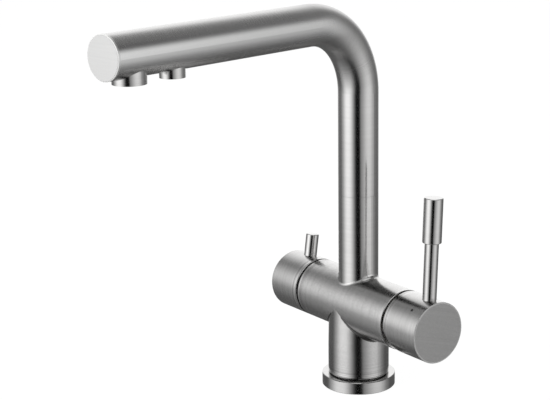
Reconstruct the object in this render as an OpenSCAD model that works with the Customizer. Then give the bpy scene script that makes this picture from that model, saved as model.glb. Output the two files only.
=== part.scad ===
// Kitchen mixer tap with a second, separate way for filtered drinking water.
// Millimetres. Origin: centre of the foot, on the worktop. +Z up, +X towards the mixer lever.
// The spout points to -Y, turned a little towards +X as it stands at rest.

/* [Body] */
// Outside diameter of the cross body that carries both controls
body_d = 45; // [44:0.5:50]
// Height of the cross body's axis above the worktop
body_z = 64.1; // [58:0.1:80]
// Distance from the riser's axis to the mixer end of the cross body
body_right = 54; // [52:0.5:70]
// Distance from the riser's axis to the filter end of the cross body
body_left = 47.7; // [46:0.1:60]
// Outside diameter of the pedestal at its foot
pedestal_d = 46; // [45:0.2:52]
// Outside diameter of the riser and of the spout
tube_d = 30; // [29:0.2:34]
// Height of the swivel seam on the riser
seam_z = 149.1; // [135:0.1:190]
// Small chamfer on turned edges
edge = 0.4; // [0.2:0.1:0.8]
// Fillet radius of the welds between the cross body, the riser and the pedestal
weld_r = 3; // [1:0.1:4]

/* [Base] */
// Outside diameter of the loose flange on the worktop
flange_d = 55.4; // [53:0.2:70]
// Height of the flange
flange_h = 9.2; // [6:0.1:14]
// Shadow gap between the flange and the pedestal
flange_gap = 0.8; // [0.3:0.05:1.5]
// Diameter of the body's foot inside the flange
foot_d = 41; // [40:0.5:43]
// Width of the rubber ring under the flange
deck_seal_w = 2.6; // [1.5:0.1:3.5]
// Height of the rubber ring under the flange
deck_seal_h = 2; // [1:0.1:4]

/* [Inlets] */
// Diameter of the block that takes the hoses
inlet_block_d = 36; // [34:0.5:38]
// Height of the block that takes the hoses
inlet_block_h = 20; // [18:0.5:26]
// Bore of a hose socket, the root of an M10 x 1 thread
hose_bore_d = 8.9; // [8:0.1:9.4]
// Depth of a hose socket
hose_bore_depth = 13; // [8:0.5:15]
// Hot and cold sockets: distance from the axis towards the mixer
mixer_inlet_x = 7.5; // [6.5:0.1:9]
// Hot and cold sockets: distance to each side
mixer_inlet_y = 8; // [7:0.1:9]
// Filtered water socket: distance from the axis towards the filter knob
filter_inlet_x = 10.5; // [9.5:0.1:12]
// Bore of the fixing stud's hole, the root of an M8 thread
stud_bore_d = 6.8; // [5:0.1:7.2]
// Depth of the fixing stud's hole
stud_bore_depth = 15; // [10:0.5:17]
// Diameter of the drilled waterways
water_d = 6; // [4:0.2:6.4]
// Thickness of the rubber rings on the inlet block
inlet_seal_t = 1.2; // [0.8:0.1:2]
// Width of those rings
inlet_seal_w = 1.5; // [1:0.1:2]

/* [Spout] */
// Height of the spout arm's axis
arm_z = 280.1; // [250:0.1:340]
// Distance from the riser's axis to the spout's end face
spout_reach = 241.3; // [232:0.1:280]
// Turn of the spout towards the mixer side at rest, degrees
spout_turn = 11; // [-90:1:90]
// Bend radius at the tube's centre line
bend_r = 54; // [40:0.5:70]
// Wall of the spout tube
tube_wall = 1.5; // [1.2:0.1:2]
// Thickness of the welded end disc
end_cap_t = 2; // [1.5:0.1:4]
// Bright bevel round the end disc
end_bevel = 0.6; // [0.2:0.1:1]
// Depth of the end disc's spigot in the tube
end_spigot_l = 4; // [2:0.5:8]

/* [Swivel] */
// Wall of the brass sleeve in the spout's foot
sleeve_wall = 2.6; // [2:0.1:3.2]
// Wall of the fixed spigot that the spout turns on
spigot_wall = 3.9; // [2.8:0.1:4.5]
// Height of the spigot above the seam
spigot_up = 34; // [30:0.5:50]
// Depth of the spigot in the riser
spigot_down = 28; // [20:0.5:35]
// Wall of the fixed riser
riser_wall = 3; // [2.5:0.1:3.4]
// Depth of the riser's bore below the seam
riser_bore_depth = 57; // [50:0.5:60]
// Thickness of the plastic glide ring at the seam
glide_t = 0.3; // [0.2:0.05:1.5]
// Section of the swivel's O-rings
swivel_ring_d = 1.5; // [1.2:0.1:1.8]
// Thickness of the clip that holds the spout down
clip_t = 1.1; // [0.8:0.1:1.6]
// Outside diameter of the inner tube for filtered water
filter_tube_d = 8; // [6:0.2:8.4]
// Wall of the inner tube
filter_tube_wall = 1; // [0.6:0.1:1.5]
// Length of the gland that seals the inner tube's foot
gland_l = 8; // [6:0.5:9]
// Section of the O-ring in the gland
gland_ring_d = 1.2; // [1:0.1:1.3]

/* [Outlets] */
// Distance from the spout's end face back to the main outlet
main_outlet_back = 21.1; // [18.5:0.1:40]
// Outside diameter of the main outlet's collar
main_outlet_d = 22.7; // [21.6:0.1:24]
// How far the main collar stands below the arm
main_outlet_stand = 3.7; // [2:0.1:8]
// Bore of the main collar, for a hidden M18.5 aerator
aerator_d = 18.5; // [17:0.1:19]
// Height of the aerator
aerator_h = 9; // [7:0.5:10]
// Distance between the two outlets
outlet_pitch = 36.7; // [26:0.1:50]
// Outside diameter of the filtered water collar
filter_outlet_d = 17.3; // [16:0.1:19]
// How far the filtered water collar stands below the arm
filter_outlet_stand = 4.4; // [2:0.1:8]
// Diameter of the filtered water nozzle
nozzle_d = 12.4; // [11:0.1:13]
// Height of the filtered water nozzle
nozzle_h = 8.4; // [6:0.2:9]
// How far the inserts sit back from the collars' mouths
outlet_recess = 0.7; // [0.3:0.1:2]
// Thickness of the rubber washers above the inserts
outlet_seal_t = 1.4; // [1:0.1:2]

/* [Mixer control] */
// Gap between the cross body and the mixer cap
cap_gap = 2; // [1.5:0.1:3]
// Length of the mixer cap
cap_l = 35; // [32:0.5:42]
// Wall of both caps
cap_wall = 2.5; // [2:0.1:3]
// Thickness of both caps' ends
cap_end_t = 4; // [3:0.1:5]
// Diameter of the boss inside the mixer cap
cap_boss_d = 18; // [16:0.5:20]
// Slope of the heel relief on the cap's lower rim, degrees
heel_angle = 20; // [18:1:25]
// Distance from the cap's outer face to the lever
lever_inset = 10.8; // [8:0.1:12]
// Lean of the lever towards the back at rest, degrees
lever_lean = 2.4; // [-10:0.1:10]
// Diameter of the lever's stem
lever_d = 10.2; // [8:0.1:11]
// Diameter of the lever's grip
grip_d = 13.9; // [12.4:0.1:18]
// Height of the grip's lower end above the cap's axis
grip_from = 64; // [50:0.5:75]
// Height of the lever's top above the cap's axis
lever_top = 96.7; // [88:0.1:140]
// Depth of the lever's counterbore in the cap
lever_seat = 5; // [4:0.1:6]
// Root diameter of the lever's fixing thread
lever_thread_d = 5; // [4:0.1:6]
// Length of the lever's fixing thread
lever_thread_l = 7; // [5:0.1:7.5]
// Distance from the cap's outer face to the index dot
index_inset = 11.6; // [8:0.1:14]
// Diameter of the index dot
index_d = 2.2; // [1.6:0.1:3]
// Depth of the index dot
index_t = 1.4; // [0.8:0.1:1.8]
// Turn of the index dot from the lever towards the front, degrees
index_angle = 43; // [30:1:60]
// Diameter of the grub screws, M5
grub_d = 4.2; // [3:0.1:4.4]
// Length of the grub screws
grub_l = 7; // [5:0.1:8]

/* [Mixer cartridge] */
// Diameter of the cartridge
cartridge_d = 35; // [34:0.1:35.4]
// Depth of the cartridge's pocket in the cross body
cartridge_depth = 32; // [31.5:0.1:36]
// Diameter of the thread for the ring nut
nut_d = 38; // [37:0.1:38.6]
// Height of the ring nut
nut_h = 9; // [7:0.1:10]
// Diameter of the cartridge's neck
neck_d = 26; // [25:0.1:27]
// Diameter of the cartridge's rotor
rotor_d = 20; // [19.5:0.1:21]
// Thickness of the cartridge's base
cartridge_base_t = 3; // [2.5:0.1:4]
// Thickness of the fixed ceramic disc
fixed_disc_t = 3; // [2:0.1:3.5]
// Thickness of the sliding ceramic disc
sliding_disc_t = 4; // [3:0.1:4.5]
// Diameter of the sliding ceramic disc
sliding_disc_d = 22; // [20:0.1:22.4]
// Height of the driver on the sliding disc
driver_h = 5.5; // [5:0.1:6]
// Distance from the lever's pivot to the ball in the driver
ball_arm = 10; // [9:0.1:10.5]
// Diameter of that ball
ball_d = 5.4; // [4.6:0.1:5.6]
// Width of the lever bar across its flats
bar_w = 6.8; // [6:0.1:7]
// Height of the lever bar
bar_h = 8; // [7:0.1:8.4]
// Diameter of the pivot pin
pivot_d = 3; // [2.4:0.1:3.4]

/* [Filter control] */
// Gap between the cross body and the filter knob
knob_gap = 2; // [1.5:0.1:3]
// Length of the filter knob
knob_l = 32.6; // [30:0.1:40]
// Round on the knob's outer edge
knob_round = 1.2; // [0.6:0.1:2]
// Diameter of the boss inside the filter knob
knob_boss_d = 16; // [14:0.5:18]
// Distance from the knob's rim to its pin
pin_inset = 15; // [13:0.1:18]
// Diameter of the pin
pin_d = 10; // [8:0.1:11]
// Height of the pin's top above the knob's axis
pin_top = 39.3; // [32:0.1:60]
// Depth of the pin's seat in the knob
pin_seat = 5; // [4:0.1:6]
// Lean of the pin towards the back at rest, degrees
pin_lean = 7.9; // [-10:0.1:15]

/* [Filter valve] */
// Diameter of the quarter-turn valve's barrel, M18
barrel_d = 18; // [17:0.1:19]
// Depth of the barrel below the counterbore
barrel_depth = 14.7; // [13.5:0.1:18]
// Diameter of the valve's round flange
valve_flange_d = 27; // [25.6:0.1:28]
// Thickness of the valve's round flange
valve_flange_t = 2.8; // [2.4:0.1:4]
// Depth of the counterbore for the valve's head
valve_head_depth = 8; // [7:0.1:10]
// Width of the valve's hexagon across flats
valve_hex = 20; // [17:0.5:22]
// Height of the valve's hexagon
valve_hex_h = 3.5; // [2.5:0.1:5]
// Diameter of the valve's nose
nose_d = 13; // [12:0.1:14]
// Length of the valve's nose
nose_l = 8; // [7:0.1:9]
// Diameter of the spindle
spindle_d = 7; // [6:0.1:8]
// Width of the spindle's square end
spindle_square = 4.8; // [4:0.1:5]
// Length of the spindle's square end
spindle_square_l = 11; // [8:0.1:12]
// Diameter of the valve's ceramic discs
valve_disc_d = 14; // [12:0.1:15]
// Thickness of the valve's ceramic discs
valve_disc_t = 2.5; // [2:0.1:3]
// Thickness of the valve's seat seal
valve_seal_t = 1; // [0.6:0.1:2]
// Section of the O-ring under the valve's flange
valve_ring_d = 1.6; // [1.2:0.1:1.8]

/* [Fits] */
// Radial clearance of a turning or sliding fit
running = 0.05; // [0.02:0.01:0.09]
// Radial clearance of a piece that is fixed in its seat
seat = 0.05; // [0.02:0.01:0.1]
// Free play between pieces that pass each other
play = 0.3; // [0.2:0.05:0.5]

/* [Hidden] */
$fn = 64;

steel = [0.72, 0.72, 0.72];
brass = [0.79, 0.66, 0.35];
rubber = [0.08, 0.08, 0.08];
plastic = [0.85, 0.85, 0.82];
dark_plastic = [0.2, 0.2, 0.22];
ceramic = [0.95, 0.94, 0.9];

eps = 0.01;
over = 1;
ring_nip = 0.02;

// Body heights and ends
body_r = body_d / 2;
pedestal_r = pedestal_d / 2;
tube_r = tube_d / 2;
shoulder_z = flange_h + flange_gap;
pedestal_straight = 0.4 * (body_z - shoulder_z);
merge_in = 0.1;
merge_r = body_r - merge_in;
pedestal_cone_h = body_z - shoulder_z - edge - pedestal_straight;
riser_bore_r = tube_r - riser_wall;
riser_floor = seam_z - riser_bore_depth;
gland_z = riser_floor - gland_l;
spout_foot = seam_z + glide_t;
tube_bore_r = tube_r - tube_wall;
spigot_d = 2 * (tube_bore_r - sleeve_wall);
spigot_bore_d = spigot_d - 2 * spigot_wall;

// Stations along the cross body on the mixer side, from the pocket's floor outwards
pocket_r = cartridge_d / 2 + 0.1;
floor_x = body_right - cartridge_depth;
fixed_disc_x = floor_x + cartridge_base_t;
sliding_disc_x = fixed_disc_x + fixed_disc_t;
driver_x = sliding_disc_x + sliding_disc_t;
rotor_x = driver_x + driver_h + play;
rotor_flange_t = 1.2;
nut_sink = 1;
rotor_sink = 0.5;
ball_in = 3;
cavity_top_x = rotor_x + rotor_flange_t + running;
nut_x = body_right - nut_h - nut_sink;
neck_end_x = nut_x + nut_h;
rotor_end_x = neck_end_x - rotor_sink;
ball_x = driver_x + ball_in;
pivot_x = ball_x + ball_arm;
housing_wall = 2.3;
cavity_r = cartridge_d / 2 - housing_wall;
disc_r = cavity_r - 0.7;
swing_up = 2.2;
swing_down = 4.5;
slot_up = bar_h / 2 + swing_up;
slot_down = bar_h / 2 + swing_down;
slot_half = bar_w / 2 + play;
rail_in = 5.2;
rail_out = 7.5;
rail_t = rail_out - rail_in;
rail_half = 9;
ball_neck_l = 6;
ball_neck_d = ball_d - 1;
bar_start_x = ball_x + ball_neck_l;

// Ports of the cartridge: hot, cold and mixed water, as [y, z] from the cross body's axis
hot_port = [-mixer_inlet_y, -5];
cold_port = [mixer_inlet_y, -5];
mixed_port = [0, 6.5];
ports = [hot_port, cold_port, mixed_port];
mixed_way_d = water_d - 0.4;
gland_groove_r = filter_tube_d / 2 + gland_ring_d + running;
gland_wall = 0.95;
mixed_riser_x = gland_groove_r + gland_wall + mixed_way_d / 2;
cross_d = water_d - 1;
drill_past = water_d / 2 + 1;

// Mixer cap
cap_x = body_right + cap_gap;
cap_end_x = cap_x + cap_l;
cap_r = body_r;
cap_bore_r = cap_r - cap_wall;
cap_boss_back = 8;
cap_boss_x = cap_x + cap_boss_back;
lever_x = cap_end_x - lever_inset;
bar_end_gap = 3;
bar_end_x = cap_end_x - cap_end_t - bar_end_gap;
lever_seat_z = cap_r - lever_seat;
lever_thread_z = lever_seat_z - lever_thread_l;
grub_back = 9;
grub_x = bar_end_x - grub_back;
pad_wall = 2;
grub_pad_wall = 2.5;
pad_in = 1;
pad_sink = 0.5;
thread_free = 0.5;
tenon_d = lever_d - 2;
tenon_l = (lever_top - grip_from) / 2;

// Filter side, as distances to the left of the riser's axis
head_u = body_left - valve_head_depth;
seat_u = head_u - barrel_depth;
fixed_valve_disc_u = seat_u + valve_seal_t;
turning_disc_u = fixed_valve_disc_u + valve_disc_t;
spindle_flange_u = turning_disc_u + valve_disc_t;
spindle_flange_t = 2;
spindle_flange_d = valve_disc_d - 0.4;
spindle_top_u = spindle_flange_u + spindle_flange_t;
thread_start = 1;
thread_u = spindle_top_u + thread_start;
hex_u = head_u + valve_flange_t;
nose_u = hex_u + valve_hex_h;
nose_end_u = nose_u + nose_l;
clip_play = 0.1;
clip_u = nose_end_u + clip_play;
spindle_clip_t = 1;
spindle_clip_w = 2;
spindle_groove = 0.7;
square_start = 0.4;
square_u = clip_u + spindle_clip_t + square_start;
square_end_u = square_u + spindle_square_l;
knob_u = body_left + knob_gap;
knob_end_u = knob_u + knob_l;
knob_boss_back = 0.5;
knob_boss_u = square_u + knob_boss_back;
pin_u = knob_u + pin_inset;
pin_seat_z = cap_r - pin_seat;
filter_way_in = 1.8;
filter_way_z = barrel_d / 2 - filter_way_in;
filter_way_d = 2.8;
gland_way_d = filter_tube_d - 3;
valve_groove_in = barrel_d + 1.6;
barrel_wall = 1.1;
window_h = 4;

// Outlets, as distances along the arm from the riser's axis
main_outlet_s = spout_reach - main_outlet_back;
filter_outlet_s = main_outlet_s - outlet_pitch;
main_collar_top = 4;
main_mouth = tube_r + main_outlet_stand;
filter_mouth = tube_r + filter_outlet_stand;
elbow_wall = 1.5;
elbow_d = filter_tube_d + 2 * elbow_wall;
elbow_back = 11;
elbow_clear = 0.5;
filter_collar_top = elbow_d / 2 + elbow_clear;

// Places
module cross_frame() {
    translate([0, 0, body_z])
        children();
}
module mixer_frame() {
    cross_frame()
        rotate([-lever_lean, 0, 0])
            children();
}
module filter_frame() {
    cross_frame()
        rotate([-pin_lean, 0, 0])
            children();
}
module spout_frame() {
    rotate([0, 0, spout_turn])
        children();
}
// A point on the spout arm, s from the riser's axis
module at_arm(s) {
    spout_frame()
        translate([0, -s, arm_z])
            children();
}

// Shapes
// A rod along X from x0 to x1
module rod_x(x0, x1, d) {
    translate([x0, 0, 0])
        rotate([0, 90, 0])
            cylinder(h = x1 - x0, d = d);
}
// The same towards -X, given by distances to the left
module rod_left(u0, u1, d) {
    rod_x(-u1, -u0, d);
}
// A profile of [radius, x] points turned about the X axis
module turned_x(points) {
    rotate([0, 90, 0])
        rotate_extrude()
            polygon(points);
}
// A flat ring on Z
module ring(z0, z1, d_in, d_out) {
    translate([0, 0, z0])
        difference() {
            cylinder(h = z1 - z0, d = d_out);
            translate([0, 0, -over])
                cylinder(h = z1 - z0 + 2 * over, d = d_in);
        }
}
// A flat ring along X
module ring_x(x0, x1, d_in, d_out) {
    difference() {
        rod_x(x0, x1, d_out);
        rod_x(x0 - over, x1 + over, d_in);
    }
}
// A round-section ring on Z
module o_ring(mean_d, section) {
    rotate_extrude()
        translate([mean_d / 2, 0])
            circle(d = section);
}
// The L-shaped path of the spout as a solid rod: riser, bend and arm
module spout_path(d, z0, s1) {
    translate([0, 0, z0])
        cylinder(h = arm_z - bend_r - z0, d = d);
    translate([0, -bend_r, arm_z - bend_r])
        rotate([90, 0, 90])
            rotate_extrude(angle = 90)
                translate([bend_r, 0])
                    circle(d = d);
    translate([0, -bend_r, arm_z])
        rotate([90, 0, 0])
            cylinder(h = s1 - bend_r, d = d);
}

// Body and base
module body_outside() {
    cylinder(h = shoulder_z + over, d = foot_d);
    translate([0, 0, shoulder_z])
        cylinder(h = edge, r1 = pedestal_r - edge, r2 = pedestal_r);
    translate([0, 0, shoulder_z + edge])
        cylinder(h = pedestal_straight, r = pedestal_r);
    translate([0, 0, shoulder_z + edge + pedestal_straight])
        cylinder(h = pedestal_cone_h, r1 = pedestal_r, r2 = merge_r);
    cross_frame()
        turned_x([
            [0, -body_left], [body_r - edge, -body_left], [body_r, -body_left + edge],
            [body_r, body_right - edge], [body_r - edge, body_right], [0, body_right]
        ]);
    translate([0, 0, body_z])
        cylinder(h = seam_z - body_z, d = tube_d);
}
module body_waterways() {
    // hot and cold: up from the inlet block, then across to the cartridge
    for (port = [hot_port, cold_port]) {
        translate([mixer_inlet_x, port[0], inlet_block_h - over])
            cylinder(h = body_z + port[1] + drill_past - inlet_block_h + over, d = water_d);
        translate([0, port[0], body_z + port[1]])
            rod_x(mixer_inlet_x, floor_x + over, cross_d);
    }
    // mixed water: back from the cartridge, then up into the riser
    translate([0, mixed_port[0], body_z + mixed_port[1]])
        rod_x(mixed_riser_x, floor_x + over, cross_d);
    translate([mixed_riser_x, mixed_port[0], body_z + mixed_port[1] - drill_past])
        cylinder(h = riser_floor - body_z - mixed_port[1] + drill_past + over, d = mixed_way_d);
    // filtered water: up to the valve's seat, then from its gallery to the gland
    translate([-filter_inlet_x, 0, inlet_block_h - over])
        cylinder(h = body_z + drill_past - inlet_block_h + over, d = water_d);
    cross_frame()
        rod_left(filter_inlet_x, seat_u + over, cross_d);
    translate([0, 0, body_z + filter_way_z])
        rod_left(0, seat_u + over, filter_way_d);
    translate([0, 0, body_z + filter_way_z - filter_way_d])
        cylinder(h = gland_z - body_z - filter_way_z + filter_way_d + over, d = gland_way_d);
}
module body() {
    color(steel)
        difference() {
            body_outside();
            // seat of the inlet block
            translate([0, 0, -over])
                cylinder(h = inlet_block_h + over, d = inlet_block_d + 2 * seat);
            // pocket and nut thread for the mixer cartridge
            cross_frame()
                rod_x(floor_x, body_right + over, 2 * pocket_r);
            cross_frame()
                rod_x(nut_x, body_right + over, nut_d);
            // seat and head of the filter valve
            cross_frame()
                rod_left(seat_u, body_left + over, barrel_d + 2 * seat);
            cross_frame()
                rod_left(head_u, body_left + over, valve_flange_d + 2 * play);
            // riser bore, gland for the inner tube and its ring
            translate([0, 0, riser_floor])
                cylinder(h = riser_bore_depth + over, r = riser_bore_r);
            translate([0, 0, gland_z])
                cylinder(h = gland_l + over, d = filter_tube_d + 2 * running);
            translate([0, 0, gland_z + gland_l / 2 - gland_ring_d / 2])
                cylinder(h = gland_ring_d, r = gland_groove_r);
            body_waterways();
        }
}
// Weld fillets: a ball of weld_r rolled along the corner of the cross body and a round post on it.
// The post has the radius r at the cross body's axis and widens by taper per millimetre away from it.
weld_step = 5;
weld_arc = 6;
weld_end = 75;
// Height of the corner at the angle a, with both surfaces moved out by grow
function corner_h(a, r, taper, grow) =
    let (
        s = pow(sin(a), 2),
        m = r + grow * norm([1, taper]),
        p = s * m * taper,
        q = 1 + s * taper * taper
    )
    (sqrt(p * p - q * (s * m * m - pow(body_r + grow, 2))) - p) / q;
function on_post(a, r, taper, h) = [(r + taper * h) * cos(a), (r + taper * h) * sin(a), h];
function on_cross(p) = [p[0], p[1] * body_r / norm([p[1], p[2]]), p[2] * body_r / norm([p[1], p[2]])];
function weld_section(a, r, taper) =
    let (
        c = on_post(a, r + weld_r * norm([1, taper]), taper, corner_h(a, r, taper, weld_r)),
        top = c - weld_r * [cos(a), sin(a), -taper] / norm([1, taper]),
        low = on_cross(c),
        root = on_post(a, r, taper, corner_h(a, r, taper, 0))
    )
    concat(
        [root],
        [for (i = [0:weld_arc])
            let (mix = low * (i / weld_arc) + top * (1 - i / weld_arc) - c)
                c + mix * weld_r / norm(mix)]
    );
// A fillet over the given angles, as a closed ring or as a strip with two ends
module weld_strip(r, taper, angles, closed) {
    size = weld_arc + 2;
    rows = len(angles);
    last = (rows - 1) * size;
    sides = [
        for (k = [0:rows - (closed ? 1 : 2)], i = [0:size - 1])
            let (a = k * size, b = (k + 1) % rows * size, j = (i + 1) % size)
                each [[a + i, b + i, b + j], [a + i, b + j, a + j]]
    ];
    ends = closed ? [] : [
        for (i = [1:size - 2])
            each [[0, i, i + 1], [last, last + i + 1, last + i]]
    ];
    polyhedron([for (a = angles) each weld_section(a, r, taper)], concat(sides, ends));
}
module riser_weld() {
    color(steel)
        cross_frame()
            weld_strip(tube_r, 0, [for (a = [0:weld_step:360 - weld_step]) a], true);
}
module pedestal_welds() {
    color(steel)
        cross_frame()
            mirror([0, 0, 1])
                for (side = [0, 180])
                    weld_strip(merge_r, (pedestal_r - merge_r) / pedestal_cone_h,
                        [for (a = [-weld_end:weld_step:weld_end]) side + a], false);
}
module base_flange() {
    color(steel)
        difference() {
            rotate_extrude()
                polygon([
                    [foot_d / 2 + play, 0], [flange_d / 2 - edge, 0], [flange_d / 2, edge],
                    [flange_d / 2, flange_h - edge], [flange_d / 2 - edge, flange_h],
                    [foot_d / 2 + play, flange_h]
                ]);
            ring(-over, deck_seal_h, deck_seal_mid_d - deck_seal_w, deck_seal_mid_d + deck_seal_w);
        }
}
deck_seal_mid_d = (foot_d + flange_d) / 2 + play;
module deck_seal() {
    color(rubber)
        ring(0, deck_seal_h, deck_seal_mid_d - deck_seal_w + 2 * seat,
            deck_seal_mid_d + deck_seal_w - 2 * seat);
}

// Inlets
inlets = [[mixer_inlet_x, hot_port[0]], [mixer_inlet_x, cold_port[0]], [-filter_inlet_x, 0]];
inlet_seal_in = 0.6;
inlet_seal_d = water_d + inlet_seal_in + 2 * inlet_seal_w;
module inlet_block() {
    color(brass)
        difference() {
            cylinder(h = inlet_block_h, d = inlet_block_d);
            for (p = inlets)
                translate([p[0], p[1], 0]) {
                    translate([0, 0, -over])
                        cylinder(h = hose_bore_depth + over, d = hose_bore_d);
                    cylinder(h = inlet_block_h + over, d = water_d);
                    translate([0, 0, inlet_block_h - inlet_seal_t])
                        cylinder(h = inlet_seal_t + over, d = inlet_seal_d);
                }
            translate([0, 0, -over])
                cylinder(h = stud_bore_depth + over, d = stud_bore_d);
        }
}
module inlet_seals() {
    color(rubber)
        for (p = inlets)
            translate([p[0], p[1], 0])
                ring(inlet_block_h - inlet_seal_t, inlet_block_h, inlet_seal_d - 2 * inlet_seal_w,
                    inlet_seal_d - 2 * seat);
}

// Swivel
swivel_ring_z = [seam_z + 0.28 * spigot_up, seam_z + 0.62 * spigot_up];
glide_back = 0.05;
sleeve_back = 3;
sleeve_top = seam_z + spigot_up - sleeve_back;
swivel_clip_z = sleeve_top + clip_play;
module swivel_spigot() {
    color(brass)
        difference() {
            union() {
                translate([0, 0, seam_z - spigot_down])
                    cylinder(h = spigot_down, r = riser_bore_r - seat);
                translate([0, 0, seam_z - eps])
                    cylinder(h = spigot_up + eps, d = spigot_d);
            }
            translate([0, 0, seam_z - spigot_down - over])
                cylinder(h = spigot_down + spigot_up + 2 * over, d = spigot_bore_d);
            for (z = swivel_ring_z)
                ring(z - swivel_ring_d / 2 - play / 2, z + swivel_ring_d / 2 + play / 2,
                    spigot_d - 2 * swivel_ring_d, spigot_d + 2 * over);
            ring(swivel_clip_z, swivel_clip_z + clip_t + clip_play, spigot_d - 2 * clip_t,
                spigot_d + 2 * over);
        }
}
module swivel_o_rings() {
    color(rubber)
        for (z = swivel_ring_z)
            translate([0, 0, z])
                o_ring(spigot_d - swivel_ring_d, swivel_ring_d - ring_nip);
}
module glide_ring() {
    color(plastic)
        ring(seam_z, seam_z + glide_t - ring_nip, spigot_d + 2 * play, tube_d - 2 * glide_back);
}
module spout_clip() {
    color(steel)
        ring(swivel_clip_z + clip_play / 2, swivel_clip_z + clip_t, spigot_d - 2 * clip_t + 2 * seat,
            spigot_d + 2 * clip_t);
}
module gland_o_ring() {
    color(rubber)
        translate([0, 0, gland_z + gland_l / 2])
            o_ring(filter_tube_d + gland_ring_d + 2 * running, gland_ring_d - ring_nip);
}
module spout_sleeve() {
    color(brass)
        ring(spout_foot, sleeve_top, spigot_d + 2 * running, 2 * (tube_bore_r - seat));
}

// Spout
module spout_tube() {
    color(steel)
        spout_frame()
            difference() {
                spout_path(tube_d, spout_foot, spout_reach - end_cap_t);
                spout_path(2 * tube_bore_r, spout_foot - over, spout_reach - end_cap_t + over);
                for (outlet = [[main_outlet_s, main_outlet_d], [filter_outlet_s, filter_outlet_d]])
                    translate([0, -outlet[0], arm_z - tube_r - over])
                        cylinder(h = tube_r, d = outlet[1] + 2 * seat);
            }
}
module spout_end_cap() {
    color(steel)
        at_arm(0)
            rotate([90, 0, 0])
                rotate_extrude()
                    polygon([
                        [0, spout_reach - end_cap_t - end_spigot_l],
                        [tube_bore_r - seat, spout_reach - end_cap_t - end_spigot_l],
                        [tube_bore_r - seat, spout_reach - end_cap_t], [tube_r, spout_reach - end_cap_t],
                        [tube_r, spout_reach - end_bevel], [tube_r - end_bevel, spout_reach],
                        [0, spout_reach]
                    ]);
}

// Main outlet with its aerator, heights measured down from the arm's axis
aerator_top = main_mouth - outlet_recess - aerator_h;
aerator_wall = 1.6;
aerator_ring_d = aerator_d - 2 * aerator_wall;
aerator_lip = 0.5;
aerator_slot_w = 2;
aerator_slot_h = 1;
comb_back = 0.6;
strainer_drop = 0.2;
strainer_t = 1.4;
strainer_hole_d = 1.6;
comb_h = aerator_h - comb_back - strainer_drop - strainer_t;
module main_outlet_collar() {
    color(steel)
        at_arm(main_outlet_s)
            difference() {
                translate([0, 0, -main_mouth])
                    cylinder(h = main_mouth - main_collar_top, d = main_outlet_d);
                translate([0, 0, -main_mouth - over])
                    cylinder(h = main_mouth + over - aerator_top + outlet_seal_t, d = aerator_d + 2 * seat);
                translate([0, 0, -main_mouth])
                    cylinder(h = main_mouth, d = aerator_ring_d - 2 * aerator_lip);
            }
}
module aerator_housing() {
    color(plastic)
        at_arm(main_outlet_s)
            difference() {
                ring(-aerator_top - aerator_h, -aerator_top, aerator_ring_d, aerator_d);
                for (turn = [0:3])
                    rotate([0, 0, 45 + 90 * turn])
                        translate([aerator_ring_d / 2 - over, -aerator_slot_w / 2,
                            -aerator_top - aerator_h - over])
                            cube([aerator_d, aerator_slot_w, aerator_slot_h + over]);
            }
}
cell = 2.2;
cell_wall = 0.4;
module aerator_honeycomb() {
    color(dark_plastic)
        at_arm(main_outlet_s)
            difference() {
                translate([0, 0, -aerator_top - aerator_h + comb_back])
                    cylinder(h = comb_h, d = aerator_ring_d - 2 * seat);
                for (row = [-3:3], col = [-4:4])
                    let (x = (col + (row % 2) / 2) * cell, y = row * cell * sin(60))
                        if (norm([x, y]) < aerator_ring_d / 2 - cell / 2 - play)
                            translate([x, y, -aerator_top - aerator_h])
                                rotate([0, 0, 30])
                                    cylinder(h = aerator_h, d = (cell - cell_wall) / cos(30), $fn = 6);
            }
}
module aerator_strainer() {
    color(steel)
        at_arm(main_outlet_s)
            difference() {
                translate([0, 0, -aerator_top - strainer_drop - strainer_t])
                    cylinder(h = strainer_t, d = aerator_ring_d - 2 * seat);
                for (turn = [0:7])
                    rotate([0, 0, 45 * turn])
                        translate([aerator_ring_d / 4, 0, -aerator_top - strainer_drop - strainer_t - over])
                            cylinder(h = strainer_t + 2 * over, d = strainer_hole_d);
            }
}
module aerator_seal() {
    color(rubber)
        at_arm(main_outlet_s)
            ring(-aerator_top, -aerator_top + outlet_seal_t, aerator_ring_d - 2 * aerator_lip,
                aerator_d - 2 * seat);
}

// Filtered water outlet, heights measured down from the arm's axis
nozzle_top = filter_mouth - outlet_recess - nozzle_h;
elbow_spigot_d = filter_tube_d - 0.4;
elbow_spigot_l = 2.4;
jet_d = 1.8;
module filter_outlet_collar() {
    color(steel)
        at_arm(filter_outlet_s)
            difference() {
                translate([0, 0, -filter_mouth])
                    cylinder(h = filter_mouth - filter_collar_top, d = filter_outlet_d);
                translate([0, 0, -filter_mouth - over])
                    cylinder(h = filter_mouth + over - nozzle_top + outlet_seal_t, d = nozzle_d + 2 * seat);
                translate([0, 0, -filter_mouth])
                    cylinder(h = filter_mouth, d = elbow_spigot_d + 2 * seat);
            }
}
module filter_nozzle() {
    color(dark_plastic)
        at_arm(filter_outlet_s)
            difference() {
                translate([0, 0, -nozzle_top - nozzle_h])
                    cylinder(h = nozzle_h, d = nozzle_d);
                for (turn = [0:5])
                    rotate([0, 0, 60 * turn])
                        translate([nozzle_d / 4, 0, -nozzle_top - nozzle_h - over])
                            cylinder(h = nozzle_h + 2 * over, d = jet_d);
                translate([0, 0, -nozzle_top - nozzle_h - over])
                    cylinder(h = nozzle_h + 2 * over, d = jet_d);
            }
}
module filter_nozzle_seal() {
    color(rubber)
        at_arm(filter_outlet_s)
            ring(-nozzle_top, -nozzle_top + outlet_seal_t, elbow_spigot_d, nozzle_d - 2 * seat);
}
elbow_seat = 5;
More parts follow.
